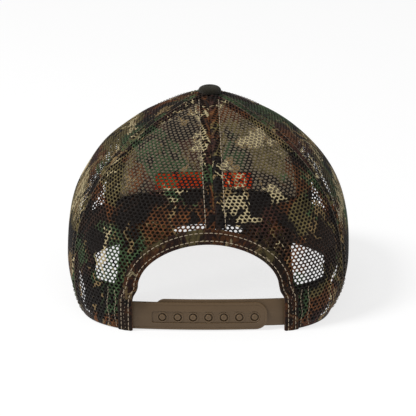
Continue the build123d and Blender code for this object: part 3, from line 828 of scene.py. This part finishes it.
# ---------------------------------------------------------------- label inside the front
LABEL_HALF_WIDTH, LABEL_SHIFT, LABEL_FOOT, LABEL_HEIGHT = 34.5, 3.5, 35.2, 12.4
LABEL_THICKNESS, LABEL_DEPTH = 0.5, 2.32


def label_place(a, b):
    phi = math.pi + (LABEL_HALF_WIDTH * (2 * a - 1) - LABEL_SHIFT) / HALF_FRONT
    return phi, v_at_height(phi, LABEL_FOOT + LABEL_HEIGHT * b)


add(sheet("inner_label", label_place, LABEL_THICKNESS, LABEL_CLOTH, 41, 11, depth=LABEL_DEPTH), "label",
    "front_inner_label")


# ---------------------------------------------------------------- rear opening: folded binding
def arch_line(count=221):
    """The opening's edge in (x, z), from the left hem's foot over the arch to the right one."""
    turn = np.linspace(0, math.pi, 121)
    arch = np.stack([ARCH_HALF_WIDTH * np.cos(turn), ARCH_SPRING + ARCH_RISE * np.sin(turn)], -1)
    leg_z = np.linspace(0.0, ARCH_SPRING, 36)[:-1]
    flare = 0.5 - 0.5 * np.tanh((leg_z - 24.0) / 2.6)
    leg_x = ARCH_HALF_WIDTH + (HEM_HALF_WIDTH - ARCH_HALF_WIDTH) * flare
    left = np.stack([leg_x, leg_z], -1)
    right = left[::-1] * [-1, 1]
    line = np.concatenate([left, arch, right])
    length = distance_along(line)
    line = read_at(line, length, np.linspace(0, length[-1], count))
    for _ in range(3):
        line[1:-1] = (line[:-2] + 2 * line[1:-1] + line[2:]) / 4
    along = unit(np.gradient(line, axis=0))
    return line, np.stack([along[:, 1], -along[:, 0]], -1)


def crumple(x, z):
    """Small folds of the hems, where the stiff binding turns down to the strap."""
    side = np.exp(-((np.abs(x) - 47) / 7) ** 2 - ((z - 27) / 8) ** 2)
    return side * (0.9 * np.sin(z * 0.9 + x * 0.25) + 0.3)


def binding_place(line, normal, w, depth):
    """(phi, v, depth) a distance w out from the opening's edge."""
    x = line[:, None, 0] + normal[:, None, 0] * w
    z = np.maximum(line[:, None, 1] + normal[:, None, 1] * w, 0.02)
    phi, v = back_place(x, z)
    return phi, v, depth - crumple(x, z)


# The tape's inner layer reaches further out at the sides of the arch.
FOLD_REACH_LEFT, FOLD_REACH_RIGHT, FOLD_EXTRA = 55.5, 51.5, 15.0
FOLD_BOW, FOLD_BOW_HEIGHT, FOLD_BOW_SPREAD = 3.2, 46.0, 17.0
INNER_LAYER = 0.9
BINDING_FACE, HEM_FACE = -0.72, 0.05


def swept_binding():
    """The tape's folded section swept along the opening."""
    line, normal = arch_line()
    width = BINDING_WIDTH
    section = [(width, -0.05), (width - 0.1, -0.45), (width - 0.5, -0.75), (width - 1.4, -0.9),
               (width - 2.2, -0.72), (width - 3.4, -0.95), (4.2, -0.98), (2.9, -0.9), (2.1, -0.7),
               (1.3, -0.95), (0.6, -0.85), (0.12, -0.35), (0.0, 0.45), (0.15, 1.3), (0.7, 1.75), (1.8, 1.8),
               (4.0, 1.78), (width - 1.0, 1.72), (width - 0.2, 1.55), (width, 1.15), (width - 0.3, 1.0),
               (4.0, 0.99), (1.0, 0.98), (0.8, 0.45), (1.0, -0.06), (4.0, -0.07), (width - 0.3, -0.06)]
    w, depth = np.array(section).T[:, None]
    reach = np.where(line[:, 0] > 0, FOLD_REACH_LEFT, FOLD_REACH_RIGHT)
    extra = (reach - np.abs(line[:, 0])) / np.maximum(np.abs(normal[:, 0]), 0.3) - width
    extra = extra + FOLD_BOW * (((line[:, 1] - FOLD_BOW_HEIGHT) / FOLD_BOW_SPREAD) ** 2 - 0.5)
    side = np.clip((np.abs(line[:, 0]) - 16) / 12, 0, 1) * np.clip(line[:, 1] / 30, 0, 1)
    extra = (np.clip(extra, 0, FOLD_EXTRA) * side)[:, None]
    w = w + extra * np.clip((w - 3) / 4, 0, 1) * (depth > INNER_LAYER)
    points = crown(*binding_place(line, normal, w, depth))
    count = len(section)
    faces = grid_faces(len(line), count, wrap=True).tolist()
    faces.append(list(range(count)))
    faces.append([len(line) * count - count + k for k in range(count)][::-1])
    tape = make_object("arch_binding_tape", points.reshape(-1, 3), faces, BINDING_CLOTH)
    tape.data.materials.append(TAPE_EDGE)
    fold = [k for k, (w, _) in enumerate(section) if w < 0.4]
    for index in range((len(line) - 1) * count):
        if index % count in fold:
            tape.data.polygons[index].material_index = 1
    return tape


add(swept_binding(), "binding", "arch_binding")


# ---------------------------------------------------------------- stitching
def seam_rows(seam, offsets, v_from, v_to):
    """Rows beside a seam, at distances to its left and right."""
    rows = []
    v = np.linspace(v_from, v_to, 160)
    for offset in offsets:
        phi = beside(seam, v, offset, 0.9)
        line = resample(crown(phi, v), 0.8)
        shares, steps = np.linspace(0, 1, len(v)), np.linspace(0, 1, len(line))
        places = read_at(np.stack([phi, v], -1), shares, steps)
        rows.append((line, outward(*places.T)))
    return rows


def binding_rows(distances):
    line, normal = arch_line()
    places = [binding_place(line, normal, w, BINDING_FACE) for w in distances]
    return [(crown(*place)[:, 0], outward(*place[:2])[:, 0]) for place in places]


def hem_rows(offsets, top):
    """Short upright rows that hold the turned-in hems beside the strap."""
    rows = []
    z = np.linspace(1.0, top, 40)
    for sign in (-1, 1):
        for offset in offsets:
            x = sign * (HEM_HALF_WIDTH + offset + 0.5 * np.sin(z * 0.35 + offset))
            place = back_place(x, z)
            depth = BINDING_FACE - crumple(x, z) if offset < BINDING_WIDTH else np.full_like(z, HEM_FACE)
            rows.append((crown(*place, depth), outward(*place)))
    return rows


BACK_OFFSET, SIDE_OFFSET = 6.0, 3.2
back_foot = float(v_at_height(np.array(0.0), 63.5))
back_rows = seam_rows(0.0, (-BACK_OFFSET, BACK_OFFSET), back_foot, 0.942)
add(stitches("stitch_back_seam", back_rows, THREAD), "mesh")
for side, seam in SIDE_SEAMS:
    rows = seam_rows(seam, (-SIDE_OFFSET, SIDE_OFFSET), 0.01, 0.947)
    add(stitches("stitch_" + side, rows, DARK_THREAD, radius=0.22), "mesh")
add(stitches("stitch_arch", binding_rows((2.1, BINDING_WIDTH - 2.2)), THREAD), "binding")
add(stitches("stitch_hems", hem_rows((4.4, 10.4, 15.0), 27.0), THREAD, radius=0.2, pitch=2.3), "binding")


# ---------------------------------------------------------------- button and disc
def lathe(name, profile, material, sides, ripple):
    """A closed solid turned about the crown's axis from (radius, z) points, ends on the axis."""
    turn = np.arange(sides) * 2 * math.pi / sides
    rings = []
    for r, z in profile[1:-1]:
        reach = r + ripple(turn, z)
        rings.append(np.stack([reach * np.sin(turn), reach * np.cos(turn), np.full(sides, z)], -1))
    points = np.concatenate([np.concatenate(rings), [[0, 0, profile[0][1]], [0, 0, profile[-1][1]]]])
    faces = grid_faces(len(rings), sides, wrap=True).tolist()
    first, last, count = len(points) - 2, len(points) - 1, len(rings)
    for k in range(sides):
        faces.append([first, k, (k + 1) % sides])
        faces.append([last, (count - 1) * sides + (k + 1) % sides, (count - 1) * sides + k])
    return make_object(name, points, [f[::-1] for f in faces], material)


BUTTON_EDGE, BUTTON_SHIFT = 126.75, -0.8


def button():
    _, (radius, _, top) = node_box("button_cap")
    edge = BUTTON_EDGE
    dome = [(0, top)]
    for k in range(1, 13):
        turn = k / 12 * math.pi / 2
        dome.append((radius * math.sin(turn) ** 0.9, edge + 0.9 + (top - edge - 0.9) * math.cos(turn) ** 0.8))
    dome += [(radius, edge + 0.5), (radius * 0.985, edge + 0.15), (radius * 0.93, edge - 0.05),
             (radius * 0.8, edge + 0.05), (0, edge + 0.7)]

    def pleats(turn, z):
        near_edge = max(0.0, 1 - abs(z - edge - 0.6) / 1.6)
        return 0.10 * near_edge * np.sin(turn * 19) * np.sin(turn * 4 + 1)
    piece = lathe("button_dome", dome, BUTTON_CLOTH, 96, pleats)
    piece.data.transform(Matrix.Translation((BUTTON_SHIFT * MM, 0, 0)))
    return piece


add(button(), "button", "button_cap")


# ---------------------------------------------------------------- snap strap
STRAP_RADIUS, STRAP_BULGE, STRAP_HALF_HEIGHT = 440.0, 1.0, 8.0
HOLE_COUNT, HOLE_PITCH, HOLE_RADIUS, HOLE_HEIGHT = 7, 9.4, 2.6, 8.6
HOLES = [HOLE_PITCH * (k - (HOLE_COUNT - 1) / 2) for k in range(HOLE_COUNT)]
# Each plate of a strip: (depth of its front, thickness, rounding of its edges).
PLATE, RIM, BEAD_RING, COLLAR = (2.75, 0.75, 0.12), (2.1, 0.75, 0.2), (1.85, 0.5, 0.16), (2.4, 0.35, 0.14)
INNER_PLATE = (3.9, 1.4, 0.25)
ROOT_COVER, BEAD, END_ROUND = 2.0, 1.3, 7.0
PANEL_HALF_HEIGHT, PANEL_ENDS, COLLAR_WIDTH = 3.7, (4.3, 11.5), 0.85
# The peg's section, as (radius, height over the strip).
PEG = ((1.5, -0.4), (1.5, 0.6), (1.8, 0.95), (1.85, 1.25), (1.65, 1.55), (1.15, 1.7), (0.5, 1.6), (0.2, 1.54))


def strap_plate(outlines, depth_front, thickness, bevel):
    """A flat plate with holes, bent to the strap's curve: outlines are closed (x, z) loops."""
    curve = bpy.data.curves.new("plate", "CURVE")
    curve.dimensions, curve.fill_mode = "2D", "BOTH"
    curve.extrude = thickness / 2 - bevel
    curve.bevel_depth, curve.bevel_resolution = bevel, 2
    curve.offset = -bevel
    for loop in outlines:
        spline = curve.splines.new("POLY")
        spline.points.add(len(loop) - 1)
        for point, (x, z) in zip(spline.points, loop):
            point.co = (x, z, 0, 1)
        spline.use_cyclic_u = True
    holder = bpy.data.objects.new("plate", curve)
    bpy.context.scene.collection.objects.link(holder)
    mesh = bpy.data.meshes.new_from_object(holder)
    bpy.data.objects.remove(holder)
    bm = bmesh.new()
    bm.from_mesh(mesh)
    cuts = [((x, 0, 0), (1, 0, 0)) for x in np.arange(-45, 60, 2.5)]
    cuts += [((0, z, 0), (0, 1, 0)) for z in np.arange(1.0, 17.0, 1.0)]
    for place, across in cuts:
        whole = bm.verts[:] + bm.edges[:] + bm.faces[:]
        bmesh.ops.bisect_plane(bm, geom=whole, plane_co=place, plane_no=across)
    face_y = HALF_BACK - depth_front
    for vert in bm.verts:
        x, z, lift = vert.co
        radius = STRAP_RADIUS - thickness / 2 + lift
        turn = x / STRAP_RADIUS
        bulge = STRAP_BULGE * ((z - HOLE_HEIGHT) / STRAP_HALF_HEIGHT) ** 2
        vert.co = (radius * math.sin(turn), face_y - STRAP_RADIUS - bulge + radius * math.cos(turn), z)
    bm.to_mesh(mesh)
    bm.free()
    return mesh


def rounded_bar(x_from, x_to, z_from, z_to, round_from, round_to, steps=8):
    """A closed loop round a bar in (x, z) with its own corner radius at each end."""
    loop = []
    corners = ((x_to, z_from, round_to, -90), (x_to, z_to, round_to, 0),
               (x_from, z_to, round_from, 90), (x_from, z_from, round_from, 180))
    for x, z, radius, start in corners:
        cx = x - radius if x == x_to else x + radius
        cz = z + radius if z == z_from else z - radius
        count = steps if radius > 0.3 else 1
        for k in range(count + 1):
            turn = math.radians(start + 90 * k / count)
            loop.append((cx + radius * math.cos(turn), cz + radius * math.sin(turn)))
    return loop


def circle(x, radius, steps=28):
    turns = [2 * math.pi * k / steps for k in range(steps)]
    return [(x + radius * math.cos(turn), HOLE_HEIGHT + radius * math.sin(turn)) for turn in turns]


def join_meshes(name, meshes, material):
    bm = bmesh.new()
    for mesh in meshes:
        bm.from_mesh(mesh)
        bpy.data.meshes.remove(mesh)
    for vert in bm.verts:
        vert.co *= MM
    result = bpy.data.meshes.new(name)
    bmesh.ops.recalc_face_normals(bm, faces=bm.faces)
    bm.to_mesh(result)
    bm.free()
    result.materials.clear()
    result.materials.append(material)
    result.polygons.foreach_set("use_smooth", [False] * len(result.polygons))
    piece = bpy.data.objects.new(name, result)
    bpy.context.scene.collection.objects.link(piece)
    return piece


def outer_strip():
    low, high = node_box("snap_strap_holes")
    root = high[0] + ROOT_COVER
    base = rounded_bar(low[0], root, low[2], high[2], END_ROUND, 0.0)
    panel = rounded_bar(low[0] + PANEL_ENDS[0], high[0] - PANEL_ENDS[1], HOLE_HEIGHT - PANEL_HALF_HEIGHT,
                        HOLE_HEIGHT + PANEL_HALF_HEIGHT, 3.6, 1.4)
    inset = rounded_bar(low[0] + BEAD, root - 0.7, low[2] + BEAD, high[2] - BEAD, END_ROUND - BEAD, 0.0)
    holes = [circle(x, HOLE_RADIUS) for x in HOLES]
    meshes = [strap_plate([base] + holes, *PLATE), strap_plate([base, panel], *RIM),
              strap_plate([base, inset], *BEAD_RING)]
    meshes += [strap_plate([circle(x, HOLE_RADIUS + COLLAR_WIDTH), hole], *COLLAR)
               for x, hole in zip(HOLES, holes)]
    return join_meshes("strap_outer_strip", meshes, STRAP_PLASTIC)


def peg(x, sides=24):
    """A snap peg that stands square on the inner strip's curve."""
    bm = bmesh.new()
    rings = [[bm.verts.new((r * math.cos(a), STRAP_RADIUS + lift, r * math.sin(a)))
              for a in np.arange(sides) * 2 * math.pi / sides] for r, lift in PEG]
    for one, two in zip(rings, rings[1:]):
        for k in range(sides):
            bm.faces.new((one[k], one[(k + 1) % sides], two[(k + 1) % sides], two[k]))
    bm.faces.new(rings[-1])
    bm.faces.new(rings[0][::-1])
    centre = Vector((0, HALF_BACK - INNER_PLATE[0] - STRAP_RADIUS, HOLE_HEIGHT))
    bm.transform(Matrix.Translation(centre) @ Matrix.Rotation(-x / STRAP_RADIUS, 4, "Z"))
    mesh = bpy.data.meshes.new("peg")
    bm.to_mesh(mesh)
    bm.free()
    return mesh


def inner_strip():
    low, high = node_box("snap_strap_pegs")
    base = rounded_bar(low[0] - ROOT_COVER, high[0], low[2], high[2], 0.0, 6.0)
    meshes = [strap_plate([base], *INNER_PLATE)] + [peg(x) for x in HOLES]
    return join_meshes("strap_inner_strip", meshes, STRAP_PLASTIC)


STRAPS = ((outer_strip, "snap_strap_holes", "left_strap", 1),
          (inner_strip, "snap_strap_pegs", "right_strap", -1))
for make_strip, node, body, sign in STRAPS:
    strip = make_strip()
    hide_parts(node)
    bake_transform(strip)

# The CAD nodes that are shown as they are.
for node, material in (("left_strap_anchor", STRAP_PLASTIC), ("right_strap_anchor", STRAP_PLASTIC),
                       ("crown_disc", TAPE_CLOTH), ("button_rivet", METAL), ("visor_board", STRAP_PLASTIC),
                       ("visor_edge_cord", VISOR_CLOTH)):
    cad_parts[node].data.materials[0] = material


# ---------------------------------------------------------------- visor
VISOR_SPAN, VISOR_TURN = math.radians(60.0), math.radians(86.0)
VISOR_HALF_WIDTH, VISOR_REACH, VISOR_SIDE_REACH = 86.0, 168.0, 50.0
VISOR_HEIGHT, VISOR_SIDE_HEIGHT = 13.5, 2.6
COVER_THICKNESS, COVER_TOP, COVER_UNDER, COVER_ROW = 0.62, 1.8, -1.18, 1.85
ROW_SHARES = np.linspace(0.22, 0.94, 7)


def visor_point(u, w, lift):
    """A point of the visor's middle surface raised by lift; u from -1 to 1, w from 0 to 1."""
    phi = math.pi - VISOR_SPAN * u
    v = v_at_height(phi, rim_height(phi) + 2.4 + lift)
    root = bare_crown(phi, v) + outward(phi, v) * 0.35
    turn = VISOR_TURN * u
    side = np.sign(u) * np.abs(np.sin(turn)) ** 0.86 * VISOR_HALF_WIDTH
    reach = VISOR_SIDE_REACH + (VISOR_REACH - VISOR_SIDE_REACH) * np.cos(turn) ** 0.9
    height = VISOR_SIDE_HEIGHT + (VISOR_HEIGHT - VISOR_SIDE_HEIGHT) * np.cos(turn) ** 1.3
    edge = np.stack([side, -reach, height + lift], -1)
    return root + (edge - root) * w[..., None]


def visor_rows(lift):
    """Lines of stitching across the visor, each a share of the way from the crown to the edge."""
    u = np.linspace(-0.97, 0.97, 240)
    lines = [resample(visor_point(u, np.full_like(u, share), lift), 1.2) for share in ROW_SHARES]
    return [(line, np.tile([0.0, 0.0, np.sign(lift)], (len(line), 1))) for line in lines]


for side, top in (("top", COVER_TOP), ("under", COVER_UNDER)):
    cover = shell("visor_cover_" + side, lambda a, b, depth: visor_point(2 * a - 1, b, top - depth),
                  COVER_THICKNESS, VISOR_CLOTH, 121, 25, edge=0.5)
    add(cover, "printed_cloth", "visor_%s_cover" % side)
for side, row in (("top", COVER_ROW), ("under", -COVER_ROW)):
    add(stitches("stitch_visor_" + side, visor_rows(row), DARK_THREAD, radius=0.25), "printed_cloth")


# ---------------------------------------------------------------- stage, light and camera
def floor_material(name, colour, glow):
    """A pale studio table lit a little from below."""
    g = Graph(name)
    faint = g.noise(g.place(), 3.0, 2.0)
    tint = g.mix(faint, linear(colour), linear([c * 0.985 for c in colour]))
    g.shader.inputs["Emission Color"].default_value = (1, 1, 1, 1)
    g.shader.inputs["Emission Strength"].default_value = glow
    return g.finish(tint, 0.9, specular=0.1)


HALF_FLOOR, FLOOR_DROP = 6000.0, 0.0002
corners = [(x * HALF_FLOOR, y * HALF_FLOOR, 0) for x, y in ((-1, -1), (1, -1), (1, 1), (-1, 1))]
table = floor_material("pale_floor", (152, 152, 152), 0.73)
floor = make_object("floor", corners, [(0, 1, 2, 3)], table, smooth=False)
floor.location.z = -FLOOR_DROP

world = bpy.data.worlds.new("studio")
world.use_nodes = True
world.node_tree.nodes["Background"].inputs["Color"].default_value = (1, 1, 1, 1)
world.node_tree.nodes["Background"].inputs["Strength"].default_value = 0.42
bpy.context.scene.world = world


def area_light(name, place, target, size, power):
    light = bpy.data.lights.new(name, "AREA")
    light.shape, light.size, light.energy = "DISK", size, power
    lamp = bpy.data.objects.new(name, light)
    lamp.location = place
    lamp.rotation_euler = (Vector(target) - Vector(place)).to_track_quat("-Z", "Y").to_euler()
    bpy.context.scene.collection.objects.link(lamp)


area_light("key", (1.2, 0.6, 1.8), (0, 0, 0.05), 0.7, 31)
area_light("fill", (-0.9, 2.0, 1.3), (0, 0, 0.05), 1.4, 6)

ELEVATION, DISTANCE, VIEW_WIDTH = math.radians(17.5), 1.4, 0.2684
target = Vector((0.0003, 0.0, 0.0496))
camera_data = bpy.data.cameras.new("camera")
camera_data.lens = camera_data.sensor_width * DISTANCE / VIEW_WIDTH
camera = bpy.data.objects.new("camera", camera_data)
camera.location = target + Vector((0, math.cos(ELEVATION), math.sin(ELEVATION))) * DISTANCE
camera.rotation_euler = (target - camera.location).to_track_quat("-Z", "Y").to_euler()
bpy.context.scene.collection.objects.link(camera)
bpy.context.scene.camera = camera
bpy.context.scene.view_settings.view_transform = "Standard"
